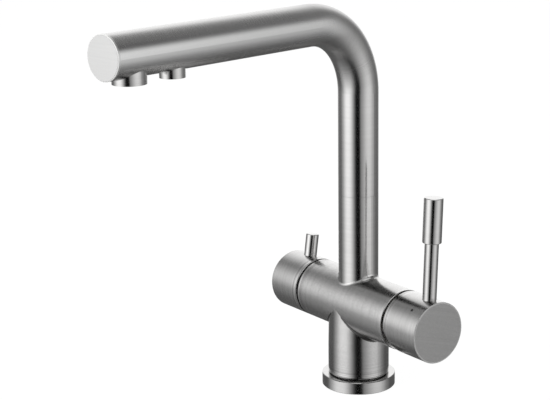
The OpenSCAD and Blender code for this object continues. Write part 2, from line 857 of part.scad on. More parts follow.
module filter_elbow() {
    color(plastic)
        at_arm(filter_outlet_s)
            difference() {
                union() {
                    sphere(d = elbow_d);
                    rotate([-90, 0, 0])
                        cylinder(h = elbow_back, d = elbow_d);
                    translate([0, 0, -filter_collar_top])
                        cylinder(h = filter_collar_top, d = elbow_d);
                    translate([0, 0, -filter_collar_top - elbow_spigot_l])
                        cylinder(h = filter_collar_top, d = elbow_spigot_d);
                }
                rotate([-90, 0, 0])
                    cylinder(h = elbow_back + over, d = filter_tube_d - 2 * filter_tube_wall);
                translate([0, elbow_back - elbow_seat, 0])
                    rotate([-90, 0, 0])
                        cylinder(h = elbow_seat + over, d = filter_tube_d + 2 * seat);
                translate([0, 0, -filter_mouth])
                    cylinder(h = filter_mouth, d = filter_tube_d - 2 * filter_tube_wall - 1);
            }
}
module filter_tube() {
    color(plastic)
        spout_frame()
            difference() {
                spout_path(filter_tube_d, gland_z + 0.5, filter_outlet_s - elbow_back + elbow_seat);
                spout_path(filter_tube_d - 2 * filter_tube_wall, gland_z, filter_outlet_s);
            }
}

// Mixer cartridge
module cartridge_housing() {
    color(plastic)
        cross_frame()
            difference() {
                union() {
                    rod_x(floor_x, nut_x, cartridge_d);
                    rod_x(nut_x - eps, neck_end_x, neck_d);
                }
                rod_x(floor_x - over, cavity_top_x, 2 * cavity_r);
                rod_x(floor_x, neck_end_x + over, rotor_d + 2 * running);
            }
}
port_way_d = water_d - 1;
port_seal_w = 1.5;
port_seal_d = port_way_d + 2 * port_seal_w;
ceramic_way_d = water_d - 1.4;
module cartridge_ports(x0, x1, d) {
    for (port = ports)
        translate([0, port[0], port[1]])
            rod_x(x0, x1, d);
}
module cartridge_base() {
    color(dark_plastic)
        cross_frame()
            difference() {
                rod_x(floor_x, fixed_disc_x, 2 * cavity_r - 2 * seat);
                cartridge_ports(floor_x - over, fixed_disc_x + over, port_way_d);
                cartridge_ports(floor_x - over, floor_x + inlet_seal_t, port_seal_d);
            }
}
module cartridge_port_seals() {
    color(rubber)
        cross_frame()
            for (port = ports)
                translate([0, port[0], port[1]])
                    ring_x(floor_x, floor_x + inlet_seal_t, port_way_d, port_seal_d - 2 * seat);
}
module fixed_ceramic_disc() {
    color(ceramic)
        cross_frame()
            difference() {
                rod_x(fixed_disc_x, sliding_disc_x, 2 * disc_r);
                cartridge_ports(fixed_disc_x - over, sliding_disc_x + over, ceramic_way_d);
            }
}
nut_slot = 3;
module cartridge_nut() {
    color(brass)
        cross_frame()
            difference() {
                ring_x(nut_x, neck_end_x, neck_d + 2 * play, nut_d - 2 * seat);
                for (turn = [0:5])
                    rotate([60 * turn, 0, 0])
                        translate([neck_end_x - nut_slot, -nut_slot / 2, neck_d / 2 - over])
                            cube([nut_slot + over, nut_slot, nut_slot]);
            }
}
module cartridge_rotor() {
    color(plastic)
        mixer_frame()
            difference() {
                union() {
                    rod_x(rotor_x, rotor_x + rotor_flange_t, 2 * cavity_r - 2 * play);
                    rod_x(rotor_x, rotor_end_x, rotor_d);
                    for (side = [-1, 1])
                        translate([driver_x + play, side * (rail_in + rail_out) / 2 - rail_t / 2, -rail_half])
                            cube([rotor_x - driver_x - play + eps, rail_t, 2 * rail_half]);
                }
                translate([rotor_x - over, -slot_half, -slot_down])
                    cube([rotor_end_x - rotor_x + 2 * over, 2 * slot_half, slot_down + slot_up]);
                translate([pivot_x, 0, 0])
                    rotate([90, 0, 0])
                        cylinder(h = 2 * rotor_d, d = pivot_d + 2 * ring_nip, center = true);
            }
}
pivot_back = 1;
module pivot_pin() {
    color(steel)
        mixer_frame()
            translate([pivot_x, 0, 0])
                rotate([90, 0, 0])
                    cylinder(h = rotor_d - 2 * pivot_back, d = pivot_d, center = true);
}
mixing_off = 2;
module sliding_ceramic_disc() {
    color(ceramic)
        mixer_frame()
            difference() {
                rod_x(sliding_disc_x, driver_x, sliding_disc_d);
                translate([0, 0, mixing_off])
                    rod_x(sliding_disc_x - over, sliding_disc_x + sliding_disc_t / 2, sliding_disc_d / 2);
            }
}
driver_half = 6;
ball_hole_d = ball_d + 2 * play;
ball_hole_flare = 4.5;
ball_flare_from = 1;
module disc_driver() {
    color(dark_plastic)
        mixer_frame()
            difference() {
                translate([driver_x, -rail_in + play / 2, -driver_half])
                    cube([driver_h, 2 * rail_in - play, 2 * driver_half]);
                rod_x(driver_x - over, driver_x + driver_h + over, ball_hole_d);
                translate([ball_x + ball_flare_from, 0, 0])
                    rotate([0, 90, 0])
                        cylinder(h = driver_h, d1 = ball_hole_d, d2 = ball_hole_d + ball_hole_flare);
            }
}

// Mixer control
module lever_bar() {
    color(brass)
        mixer_frame()
            difference() {
                union() {
                    translate([ball_x, 0, 0])
                        sphere(d = ball_d);
                    rod_x(ball_x, bar_start_x + eps, ball_neck_d);
                    translate([bar_start_x, -bar_w / 2, -bar_h / 2])
                        cube([bar_end_x - bar_start_x, bar_w, bar_h]);
                }
                translate([pivot_x, 0, 0])
                    rotate([90, 0, 0])
                        cylinder(h = 2 * bar_w, d = pivot_d + 2 * running, center = true);
            }
}
module mixer_cap() {
    color(steel)
        mixer_frame()
            difference() {
                union() {
                    turned_x([
                        [0, cap_boss_x], [cap_boss_d / 2, cap_boss_x],
                        [cap_boss_d / 2, cap_end_x - cap_end_t], [cap_bore_r, cap_end_x - cap_end_t],
                        [cap_bore_r, cap_x], [cap_r - edge, cap_x], [cap_r, cap_x + edge],
                        [cap_r, cap_end_x - edge], [cap_r - edge, cap_end_x], [0, cap_end_x]
                    ]);
                    translate([lever_x, 0, bar_h / 2 + pad_in])
                        cylinder(h = cap_bore_r - bar_h / 2, d = lever_d + 2 * pad_wall);
                    translate([grub_x, 0, -cap_bore_r - pad_sink])
                        cylinder(h = cap_bore_r - bar_h / 2, d = grub_d + 2 * grub_pad_wall);
                }
                // socket of the lever bar
                translate([cap_boss_x - over, -bar_w / 2 - seat, -bar_h / 2 - seat])
                    cube([bar_end_x - cap_boss_x + over + seat, bar_w + 2 * seat, bar_h + 2 * seat]);
                // lever's counterbore and thread
                translate([lever_x, 0, lever_seat_z])
                    cylinder(h = lever_seat + over, d = lever_d + 2 * seat);
                translate([lever_x, 0, lever_thread_z])
                    cylinder(h = lever_thread_l + over, d = lever_thread_d + 2 * seat);
                // grub screw's thread
                translate([grub_x, 0, -cap_r - over])
                    cylinder(h = cap_r + over - bar_h / 2, d = grub_d + 2 * seat);
                // index dot's seat
                rotate([index_angle, 0, 0])
                    translate([cap_end_x - index_inset, 0, cap_r - index_t])
                        cylinder(h = index_t + over, d = index_d + 2 * seat);
                // heel relief: lets the rim swing in when the lever is pulled out
                translate([0, body_d, 0])
                    rotate([90, 0, 0])
                        linear_extrude(height = 2 * body_d)
                            polygon([
                                [cap_x - over, 0], [cap_x, 0],
                                [cap_x + body_d * tan(heel_angle), -body_d], [cap_x - over, -body_d]
                            ]);
            }
}
module lever_stem() {
    color(steel)
        mixer_frame()
            translate([lever_x, 0, 0]) {
                translate([0, 0, lever_thread_z + thread_free])
                    cylinder(h = lever_thread_l, d = lever_thread_d);
                translate([0, 0, lever_seat_z])
                    cylinder(h = grip_from - lever_seat_z, d = lever_d);
                translate([0, 0, grip_from - eps])
                    cylinder(h = tenon_l, d = tenon_d);
            }
}
module lever_grip() {
    color(steel)
        mixer_frame()
            translate([lever_x, 0, 0])
                rotate_extrude()
                    polygon([
                        [tenon_d / 2 + seat, grip_from], [grip_d / 2 - edge, grip_from],
                        [grip_d / 2, grip_from + edge], [grip_d / 2, lever_top - edge],
                        [grip_d / 2 - edge, lever_top], [0, lever_top],
                        [0, grip_from + tenon_l + thread_free],
                        [tenon_d / 2 + seat, grip_from + tenon_l + thread_free]
                    ]);
}
module grub_screw() {
    difference() {
        cylinder(h = grub_l, d = grub_d);
        translate([0, 0, -eps])
            cylinder(h = grub_l / 2, d = grub_d / 2, $fn = 6);
    }
}
module mixer_grub_screw() {
    color(dark_plastic)
        mixer_frame()
            translate([grub_x, 0, -bar_h / 2 - seat - grub_l])
                grub_screw();
}
module index_dot() {
    color(dark_plastic)
        mixer_frame()
            rotate([index_angle, 0, 0])
                translate([cap_end_x - index_inset, 0, cap_r - index_t])
                    cylinder(h = index_t, d = index_d);
}

// Filter valve
module filter_valve_body() {
    color(brass)
        cross_frame()
            difference() {
                union() {
                    rod_left(fixed_valve_disc_u, thread_u + eps, valve_disc_d + 2 * barrel_wall);
                    rod_left(thread_u, head_u + eps, barrel_d);
                    rod_left(head_u, hex_u, valve_flange_d);
                    translate([-nose_u, 0, 0])
                        rotate([0, 90, 0])
                            cylinder(h = valve_hex_h + eps, d = valve_hex / cos(30), $fn = 6);
                    rod_left(nose_u - eps, nose_end_u, nose_d);
                }
                // bore for the discs, spindle bore and outlet windows
                rod_left(fixed_valve_disc_u - over, spindle_top_u + running, valve_disc_d + 2 * seat);
                rod_left(fixed_valve_disc_u, nose_end_u + over, spindle_d + 2 * running);
                translate([-spindle_flange_u - spindle_flange_t / 2, 0, 0])
                    cube([spindle_flange_t, 2 * barrel_d, window_h], center = true);
                // groove of the ring under the flange
                ring_x(-head_u - valve_ring_d, -head_u + eps, valve_groove_in,
                    valve_groove_in + 2 * valve_ring_d);
            }
}
module filter_seat_seal() {
    color(rubber)
        cross_frame()
            ring_x(-fixed_valve_disc_u, -seat_u, cross_d, valve_disc_d - 2);
}
// A half-open ceramic disc for the quarter-turn valve
module valve_disc(u0, u1) {
    difference() {
        rod_left(u0, u1, valve_disc_d);
        for (side = [-1, 1])
            translate([0, side * valve_disc_d / 4, 0])
                rod_left(u0 - over, u1 + over, valve_disc_d / 4);
    }
}
module filter_fixed_disc() {
    color(ceramic)
        cross_frame()
            valve_disc(fixed_valve_disc_u, turning_disc_u);
}
module filter_valve_o_ring() {
    color(rubber)
        cross_frame()
            translate([-head_u - valve_ring_d / 2, 0, 0])
                rotate([0, 90, 0])
                    o_ring(valve_groove_in + valve_ring_d, valve_ring_d - ring_nip);
}
module filter_turning_disc() {
    color(ceramic)
        filter_frame()
            rotate([90, 0, 0])
                valve_disc(turning_disc_u, spindle_flange_u);
}
module filter_spindle() {
    color(brass)
        filter_frame()
            difference() {
                union() {
                    rod_left(spindle_flange_u, spindle_top_u, spindle_flange_d);
                    rod_left(spindle_flange_u, square_u, spindle_d);
                    translate([-square_end_u, -spindle_square / 2, -spindle_square / 2])
                        cube([spindle_square_l + eps, spindle_square, spindle_square]);
                }
                ring_x(-clip_u - spindle_clip_t - clip_play, -clip_u, spindle_d - 2 * spindle_groove,
                    spindle_d + over);
            }
}
module spindle_clip() {
    color(steel)
        filter_frame()
            ring_x(-clip_u - spindle_clip_t, -clip_u, spindle_d - 2 * spindle_groove + 2 * seat,
                spindle_d + 2 * spindle_clip_w);
}

// Filter control
module filter_knob_outside() {
    turned = knob_end_u - knob_round;
    rotate([0, -90, 0])
        rotate_extrude()
            difference() {
                union() {
                    polygon([
                        [0, knob_u], [cap_r - edge, knob_u], [cap_r, knob_u + edge],
                        [cap_r, turned], [0, turned]
                    ]);
                    translate([0, turned - eps])
                        square([cap_r - knob_round, knob_round + eps]);
                    translate([cap_r - knob_round, turned])
                        circle(r = knob_round);
                }
                translate([knob_boss_d / 2, knob_u - over])
                    square([cap_bore_r - knob_boss_d / 2, knob_l - cap_end_t + over]);
                translate([-over, knob_u - over])
                    square([knob_boss_d / 2 + 2 * over, knob_boss_u - knob_u + over]);
            }
}
module filter_knob() {
    color(steel)
        filter_frame()
            difference() {
                union() {
                    filter_knob_outside();
                    translate([-pin_u, 0, spindle_square / 2 + pad_in])
                        cylinder(h = cap_bore_r - spindle_square / 2, d = pin_d + 2 * pad_wall);
                    translate([-pin_u, 0, -cap_bore_r - pad_sink])
                        cylinder(h = cap_bore_r - spindle_square / 2, d = grub_d + 2 * grub_pad_wall);
                }
                // socket of the spindle's square
                translate([-square_end_u - seat, -spindle_square / 2 - seat, -spindle_square / 2 - seat])
                    cube([square_end_u - knob_u, spindle_square + 2 * seat, spindle_square + 2 * seat]);
                // pin's seat and thread
                translate([-pin_u, 0, pin_seat_z])
                    cylinder(h = pin_seat + over, d = pin_d + 2 * seat);
                translate([-pin_u, 0, pin_seat_z - lever_thread_l])
                    cylinder(h = lever_thread_l + over, d = lever_thread_d + 2 * seat);
                // grub screw's thread
                translate([-pin_u, 0, -cap_r - over])
                    cylinder(h = cap_r + over - spindle_square / 2, d = grub_d + 2 * seat);
            }
}
module filter_pin() {
    color(steel)
        filter_frame()
            translate([-pin_u, 0, 0]) {
                translate([0, 0, pin_seat_z - lever_thread_l + thread_free])
                    cylinder(h = lever_thread_l, d = lever_thread_d);
                rotate_extrude()
                    polygon([
                        [0, pin_seat_z], [pin_d / 2, pin_seat_z], [pin_d / 2, pin_top - edge],
                        [pin_d / 2 - edge, pin_top], [0, pin_top]
                    ]);
            }
}
module filter_grub_screw() {
    color(dark_plastic)
        filter_frame()
            translate([-pin_u, 0, -spindle_square / 2 - seat - grub_l])
                grub_screw();
}

body();
riser_weld();
pedestal_welds();
base_flange();
deck_seal();
inlet_block();
inlet_seals();
swivel_spigot();
swivel_o_rings();
glide_ring();
spout_clip();
gland_o_ring();
cartridge_housing();
cartridge_base();
cartridge_port_seals();
fixed_ceramic_disc();
cartridge_nut();
filter_valve_body();
filter_seat_seal();
filter_fixed_disc();
filter_valve_o_ring();
spout_tube();
spout_end_cap();
spout_sleeve();
main_outlet_collar();
aerator_housing();
aerator_honeycomb();
aerator_strainer();
aerator_seal();
filter_outlet_collar();
filter_nozzle();
filter_nozzle_seal();
filter_elbow();
filter_tube();
cartridge_rotor();
pivot_pin();
lever_bar();
mixer_cap();
lever_stem();
lever_grip();
mixer_grub_screw();
index_dot();
disc_driver();
sliding_ceramic_disc();
filter_spindle();
filter_turning_disc();
spindle_clip();
filter_knob();
filter_pin();
filter_grub_screw();
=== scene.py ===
# %% [markdown]
# # A kitchen mixer tap in satin steel
# The tap was built as solids first: body, spout, caps, lever, valves and seals, each in its place.
# Blender adds what solids can't hold: how the brushed steel takes the light, and what rubber, brass and
# plastic look like where they show. The solids come in as a fixed frame, in metres, and stay where they are.

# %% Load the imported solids
import math

import bpy
from mathutils import Matrix, Vector

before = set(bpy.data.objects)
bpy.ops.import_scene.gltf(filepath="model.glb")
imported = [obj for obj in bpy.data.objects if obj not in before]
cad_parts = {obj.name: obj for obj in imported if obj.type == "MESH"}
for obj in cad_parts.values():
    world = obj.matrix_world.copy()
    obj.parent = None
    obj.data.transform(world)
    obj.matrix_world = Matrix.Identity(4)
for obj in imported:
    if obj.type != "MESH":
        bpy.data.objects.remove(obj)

for leftover in ("Cube", "Light", "Camera"):
    if leftover in bpy.data.objects:
        bpy.data.objects.remove(bpy.data.objects[leftover])
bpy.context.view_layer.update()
bpy.ops.object.select_all(action="DESELECT")
scene = bpy.context.scene

# %% [markdown]
# ## Writing shader sums as sums
# A node tree is hard to read once it has a dozen Math nodes. This small class wraps one output, so that
# `1 - mask` or `a * b + c` in Python adds the Math nodes by itself. Every other node comes from one
# method, `node`: its type, its settings, then what goes into its sockets. `step` fades from 0 to 1 between
# two values, and `bell` is a soft hump round one value.

# %% A wire between shader nodes
class Wire:
    def __init__(self, tree, socket=None):
        self.tree = tree
        self.socket = socket

    def node(self, kind, settings=None, sockets=None, out=0):
        made = self.tree.nodes.new(kind)
        for key, value in (settings or {}).items():
            setattr(made, key, value)
        for key, value in (sockets or {}).items():
            if isinstance(value, Wire):
                self.tree.links.new(value.socket, made.inputs[key])
            else:
                made.inputs[key].default_value = value
        return Wire(self.tree, made.outputs[out] if made.outputs else None)

    def other(self, name):
        return Wire(self.tree, self.socket.node.outputs[name])

    def math(self, operation, *values):
        return self.node("ShaderNodeMath", {"operation": operation}, dict(enumerate(values)))

    def __add__(self, other):
        return self.math("ADD", self, other)

    __radd__ = __add__

    def __mul__(self, other):
        return self.math("MULTIPLY", self, other)

    __rmul__ = __mul__

    def __sub__(self, other):
        return self.math("SUBTRACT", self, other)

    def __rsub__(self, other):
        return self.math("SUBTRACT", other, self)

    def __truediv__(self, other):
        return self.math("DIVIDE", self, other)

    def __rtruediv__(self, other):
        return self.math("DIVIDE", other, self)

    def step(self, low, high):
        settings = {"interpolation_type": "SMOOTHSTEP"}
        return self.node("ShaderNodeMapRange", settings, {"Value": self, "From Min": low, "From Max": high})

    def bell(self, middle, width):
        offset = (self - middle) / width
        return self.math("EXPONENT", offset * offset * -0.5)

    def parts(self):
        made = self.node("ShaderNodeSeparateXYZ", None, {0: self})
        return [made.other(name) for name in "XYZ"]


def fresh_tree(owner):
    owner.use_nodes = True
    owner.node_tree.nodes.clear()
    return Wire(owner.node_tree)


print("shader sums ready")

# %% [markdown]
# ## The camera
# The viewpoint was measured from the photo's outlines: the photographer stood to the right of the spout,
# a little above it, with a long lens. A long lens keeps the tubes nearly parallel. The small roll is the
# tilt of the photo itself.

# %% Camera
VIEW_TURN = math.radians(54.776)
VIEW_RISE = math.radians(14.114)
VIEW_ROLL = math.radians(-0.858)
VIEW_PLACE = Vector((0.88271, -0.69925, 0.42754))
PHOTO_WIDTH = 550
FOCAL_PIXELS = 1556.184

level_away = Vector((math.sin(VIEW_TURN), -math.cos(VIEW_TURN), 0))
level_right = Vector((math.cos(VIEW_TURN), math.sin(VIEW_TURN), 0))
away = level_away * math.cos(VIEW_RISE) + Vector((0, 0, math.sin(VIEW_RISE)))
level_up = away.cross(level_right)
lens_right = math.cos(VIEW_ROLL) * level_right + math.sin(VIEW_ROLL) * level_up
lens_up = math.cos(VIEW_ROLL) * level_up - math.sin(VIEW_ROLL) * level_right
lens = bpy.data.cameras.new("photo_lens")
lens.sensor_width = 36
lens.lens = FOCAL_PIXELS * lens.sensor_width / PHOTO_WIDTH
camera = bpy.data.objects.new("photo_camera", lens)
scene.collection.objects.link(camera)
turn = Matrix((lens_right, lens_up, away)).transposed().to_4x4()
camera.matrix_world = Matrix.Translation(VIEW_PLACE) @ turn
scene.camera = camera
scene.view_settings.view_transform = "Standard"
print("camera:", round(lens.lens, 1), "mm lens,", round(VIEW_PLACE.length, 2), "m away")

# %% [markdown]
# ## The floor
# The tap stands on a plain pale sheet that runs out into white, as on a photographer's table. Seen by the
# camera the sheet is nearly all its own white, so that only a soft trace of the tap's shadow is left. It
# lies a hair below the foot, so that the two never share a face.

# %% Floor
FLOOR_SIZE = 12
FLOOR_DROP = 0.0004
SHEET_SHADE = 0.82
SHEET_GLOW = 1.06
GLOW_SHARE = 0.9

bpy.ops.mesh.primitive_plane_add(size=FLOOR_SIZE, location=(0, 0, -FLOOR_DROP))
floor = bpy.context.object
floor.name = "floor_sheet"
floor.visible_glossy = False
sheet = bpy.data.materials.new("floor_white")
web = fresh_tree(sheet)
path = web.node("ShaderNodeLightPath")
seen = web.math("MAXIMUM", path, path.other("Is Transmission Ray"))
lit = web.node("ShaderNodeBsdfDiffuse", None, {"Color": (SHEET_SHADE, SHEET_SHADE, SHEET_SHADE, 1)})
white = web.node("ShaderNodeEmission", None, {"Color": (1, 1, 1, 1), "Strength": SHEET_GLOW})
mixed = web.node("ShaderNodeMixShader", None, {0: seen * GLOW_SHARE, 1: lit, 2: white})
web.node("ShaderNodeOutputMaterial", None, {"Surface": mixed})
floor.data.materials.append(sheet)
bpy.ops.object.select_all(action="DESELECT")
print("floor:", floor.dimensions.x, "m wide")

# %% [markdown]
# ## The studio
# Polished tubes show the room, not themselves. In the photo each tube carries the same bands: a bright band
# on the left, a narrow black stripe where the photographer stands, a softer band on the right, and grey at
# the edges. That is a room with one soft box on each side at the tap's own height, a white sheet behind,
# and little light elsewhere. The world paints that room by direction, for what mirrors it. Directions are
# degrees: `side` goes right from the photographer, `rise` goes up, and `spread` is the side without its
# sign.

# %% Directions in the room
room = bpy.data.worlds.new("studio_room")
scene.world = room
web = fresh_tree(room)
ray = web.node("ShaderNodeTexCoord")


def part_along(way):
    return web.node("ShaderNodeVectorMath", {"operation": "DOT_PRODUCT"}, {0: ray, 1: way}, out="Value")


DEGREES = 180 / math.pi
side = web.math("ARCTAN2", part_along(level_right), part_along(level_away)) * DEGREES
rise = web.math("ARCSINE", ray.parts()[2]) * DEGREES
spread = web.math("ABSOLUTE", side)
print("studio measured from", round(VIEW_TURN * DEGREES, 1), "degrees")

# %% [markdown]
# Both boxes lean a little, so their edges follow `leaning` instead of `side`. Upright tubes mirror only
# what lies as far below the level as the camera is above it. At that height the left box is narrowest, and
# it widens above and below. Each pair of numbers says between which angles a light fades.

# %% Soft boxes
BOX_LEAN = 0.356
TUBE_RISE = -14
WIDENING = 0.5
LEFT_POWER = 2.06
RIGHT_EDGE_POWER = 0.34
RIGHT_POWER = 0.88

leaning = side + rise * BOX_LEAN
widened = side + web.math("ABSOLUTE", rise - TUBE_RISE) * WIDENING
left_box = (1 - leaning.step(-64, -17)) * widened.step(-118.4, -65.8) * LEFT_POWER
left_box = left_box * rise.bell(26.2, 42.2) * (1 - rise.step(-5, 50))
right_box = leaning.step(-0.5, 7.5) * RIGHT_EDGE_POWER + side.step(2, 57) * RIGHT_POWER
right_box = right_box * (1 - side.step(61.5, 118))
right_box = right_box * rise.bell(16.4, 41.4) * (1 - rise.step(12, 36))
print("soft boxes:", LEFT_POWER, "left,", RIGHT_POWER, "right")

# %% [markdown]
# The walls are dim, and a white sheet hangs behind the tap: the tops of the level tubes mirror it. A strip
# low behind, the ceiling and a canopy over the front are hardly seen from the photo's side. They keep the
# tap from turning black when it is looked at from elsewhere.

# %% Walls, sheets and ceiling
DARKEST = 0.002
WALL_POWER = 0.11
WALL_GAIN = 0.1
SHEET_LEAN = 0.18
BACK_POWER = 1.08
LOW_POWER = 0.6
CEILING_POWER = 0.9
CANOPY_POWER = 0.5

side_walls = spread.step(92, 108) * (rise.step(-22.5, -8.7) * WALL_GAIN + WALL_POWER) + DARKEST
above_strip = rise.step(-16, -2)
back_sheet = (spread + rise * SHEET_LEAN).step(136.4, 168) * above_strip
back_sheet = back_sheet * (1 - rise.step(29, 50)) * BACK_POWER
low_strip = spread.step(150, 180) * (1 - above_strip) * rise.step(-24, -14) * LOW_POWER
overhead = rise.step(58, 76)
ceiling = overhead * CEILING_POWER
canopy = rise.step(14, 40) * (1 - overhead) * (1 - spread.step(60, 90)) * CANOPY_POWER
print("sheet behind:", BACK_POWER, "canopy:", CANOPY_POWER)

# %% [markdown]
# What a ray sees depends on its kind. The camera sees white. A mirroring surface sees the room, but the
# canopy only at the first mirror: the riser's own image on the cross body is a mirror in a mirror, and it
# is dark in the photo. Anything dull gets an even fill. Blender counts the camera's ray as one and the first
# mirror as two.

# %% World
FIRST_MIRROR = 2.5
SOFT_FILL = 0.55

path = web.node("ShaderNodeLightPath")
first = web.math("LESS_THAN", path.other("Ray Depth"), FIRST_MIRROR)
glow = left_box + right_box + side_walls + back_sheet + low_strip + ceiling + canopy * first
glossy = path.other("Is Glossy Ray")
straight = web.math("MAXIMUM", path, path.other("Is Transmission Ray"))
strength = straight + (1 - straight) * (glossy * glow + (1 - glossy) * SOFT_FILL)
shine = web.node("ShaderNodeBackground", None, {"Color": (1, 1, 1, 1), "Strength": strength})
web.node("ShaderNodeOutputWorld", None, {"Surface": shine})
room.cycles.sampling_method = "NONE"
print("studio:", len(web.tree.nodes), "nodes")

# %% [markdown]
# Lamps still light what isn't a mirror: the floor, rubber and plastic. Two large soft ones stand where the
# boxes are. The steel already sees the boxes in the world, so the lamps don't show in it a second time.

# %% Lamps
LAMP_SIZE = 1.0
LAMP_AIM = Vector((0, -0.05, 0.12))


def soft_lamp(name, place, power):
    lamp = bpy.data.lights.new(name, "AREA")
    lamp.size = LAMP_SIZE
    lamp.energy = power
    holder = bpy.data.objects.new(name, lamp)
    scene.collection.objects.link(holder)
    holder.location = place
    aim = LAMP_AIM - Vector(place)
    holder.rotation_euler = aim.to_track_quat("-Z", "Y").to_euler()
    holder.visible_glossy = False


soft_lamp("left_lamp", (-0.1, -1.4, 1.3), 14)
soft_lamp("right_lamp", (1.3, 0.9, 1.3), 9)

# %% [markdown]
# ## Brushed steel
# Satin steel is ground with a fine belt while the piece turns, so the scratches run round it. They scatter
# light along the piece and leave it sharp across, which is why the bands on the tubes have clean edges.
# The scratches are noise that changes fast along the piece and slowly round it. The fourth dimension of
# the noise is the way along the piece, so one recipe fits a straight tube, a bend or a flat disc. Its
# scale also acts on that fourth dimension, so the way along is divided by it first.

# %% Scratches
FINE = (2600, 45)
COARSE = (650, 25)
LATHE_RINGS = (1400, 5)


def metres(web):
    return web.node("ShaderNodeTexCoord", None, None, out="Object")


def noise(web, place, scale, detail):
    sockets = {"Vector": place, "Scale": scale, "Detail": detail}
    return web.node("ShaderNodeTexNoise", None, sockets, out="Fac")


def streaks(web, place, along, per_metre, drag, detail=2):
    sockets = {"Vector": place, "W": along * (per_metre / drag), "Scale": drag}
    sockets.update({"Detail": detail, "Roughness": 0.6})
    return web.node("ShaderNodeTexNoise", {"noise_dimensions": "4D"}, sockets, out="Fac")


def blend_colour(web, amount, dark, light):
    ends = {"A": dark, "B": light}
    for end, colour in ends.items():
        if not isinstance(colour, Wire):
            ends[end] = (*colour, 1)
    return web.node("ShaderNodeMix", {"data_type": "RGBA"}, {"Factor": amount, **ends}, out=2)


print("scratches per metre:", FINE[0], "fine,", COARSE[0], "coarse")

# %% [markdown]
# One recipe makes every steel finish. The scratches change the tone, the roughness and a very shallow bump,
# and a soft cloud lets the polish vary over the piece. `marks` adds deeper rings where a mask says so. Each
# of `zones` is a mask with its own roughness, share of bare metal, and a dark and a light tone, broken up by
# fine grit. Some of these tones are painted shade or painted highlights.

# %% Steel recipe
SATIN = (0.46, 0.456, 0.452), (0.76, 0.755, 0.75)
BRUSHED = (0.35, 0.347, 0.344), (0.87, 0.864, 0.858)
POLISHED = (0.76, 0.76, 0.755), (0.98, 0.98, 0.975)
# The weld tone is painted shade: the dark crease under the cross body.
WELD_CREASE_SHADE = (0.13, 0.128, 0.126), (0.22, 0.218, 0.215)
CLOUD_SCALE = 22
GRIT_SCALE = 1300
SCRATCH_DEPTH = 0.00004


def satin_steel(name, way_along, gloss=0.16, marks=None, zones=(), tones=SATIN):
    steel = bpy.data.materials.new(name)
    web = fresh_tree(steel)
    place = metres(web)
    x, y, z = place.parts()
    along = way_along(web, x, y, z)
    fine = streaks(web, place, along, *FINE)
    coarse = streaks(web, place, along, *COARSE, detail=1)
    lines = fine * 0.6 + coarse * 0.4
    shade = (fine * 0.4 + coarse * 0.6 - 0.5) * 0.5 + 0.5
    if marks:
        cut = (streaks(web, place, along, *LATHE_RINGS) - 0.5) * marks(web, x, y, z)
        lines = lines + cut
        shade = shade + cut * 6
    cloud = noise(web, place, CLOUD_SCALE, 2)
    rough = (lines - 0.5) * 0.12 + (cloud - 0.5) * 0.08 + gloss
    colour = blend_colour(web, shade, *tones)
    metal = 1
    if zones:
        gritty = shade + (noise(web, place, GRIT_SCALE, 2) - 0.5) * 0.6
    for mask, matt, bare, dark, light in zones:
        inside = mask(web, x, y, z)
        rough = rough * (1 - inside) + inside * matt
        if bare < 1:
            metal = metal * (1 - inside) + inside * bare
        colour = blend_colour(web, inside, colour, blend_colour(web, gritty, dark, light))
    bump = web.node("ShaderNodeBump", None, {"Strength": 0.12, "Distance": SCRATCH_DEPTH, "Height": lines})
    surface = web.node("ShaderNodeBsdfPrincipled", None, {
        "Base Color": colour,
        "Metallic": metal,
        "Roughness": rough,
        "Normal": bump,
    })
    web.node("ShaderNodeOutputMaterial", None, {"Surface": surface})
    return steel


print("steel recipe ready")

# %% [markdown]
# ### Where the scratches run
# Each piece was ground in its own way. The caps turned about the cross body's line, the flange, outlets,
# lever and pin about an upright line. The body is welded from both, so its cross body is told apart by its
# distance from that line. The spout was ground along its path: up the riser, round the bend, out the arm.
# The flat ends were ground straight across.

# %% Directions
CROSS_HEIGHT = 0.0641
CROSS_RADIUS = 0.0225
ARM_HEIGHT = 0.2801
BEND_RADIUS = 0.054
SPOUT_TURN = math.radians(11)
SPOUT_REACH = 0.2413
CAP_END = 0.091
KNOB_END = -0.0823
SLANT = 0.3


def upright(web, x, y, z):
    return z


def from_cross(web, y, z):
    drop = z - CROSS_HEIGHT
    return web.math("SQRT", y * y + drop * drop)


def cross_face(web, x, y, z):
    return 1 - from_cross(web, y, z).step(CROSS_RADIUS + 0.00005, CROSS_RADIUS + 0.0003)


def body_way(web, x, y, z):
    on_cross = cross_face(web, x, y, z)
    return on_cross * x + (1 - on_cross) * z


def cap_face(web, x, y, z):
    return x.step(CAP_END - 0.00012, CAP_END - 0.00004)


def cap_way(web, x, y, z):
    on_end = cap_face(web, x, y, z)
    return on_end * (z + y * SLANT) + (1 - on_end) * x


def knob_way(web, x, y, z):
    on_end = 1 - x.step(KNOB_END + 0.00004, KNOB_END + 0.00012)
    return on_end * (z + y * SLANT) + (1 - on_end) * x


def arm_reach(web, x, y):
    return x * math.sin(SPOUT_TURN) - y * math.cos(SPOUT_TURN)


def spout_way(web, x, y, z):
    reach = arm_reach(web, x, y)
    climb = z - (ARM_HEIGHT - BEND_RADIUS)
    inward = web.math("MAXIMUM", BEND_RADIUS - reach, 0.000001)
    angle = web.math("ARCTAN2", web.math("MAXIMUM", climb, 0), inward)
    past = web.math("MAXIMUM", reach - BEND_RADIUS, 0)
    return web.math("MINIMUM", climb, 0) + angle * BEND_RADIUS + past


def disc_way(web, x, y, z):
    reach = arm_reach(web, x, y)
    on_face = reach.step(SPOUT_REACH - 0.0002, SPOUT_REACH - 0.0001)
    return on_face * z + (1 - on_face) * reach


WAYS = (upright, body_way, cap_way, knob_way, spout_way, disc_way)
print("grinding directions:", [way.__name__ for way in WAYS])
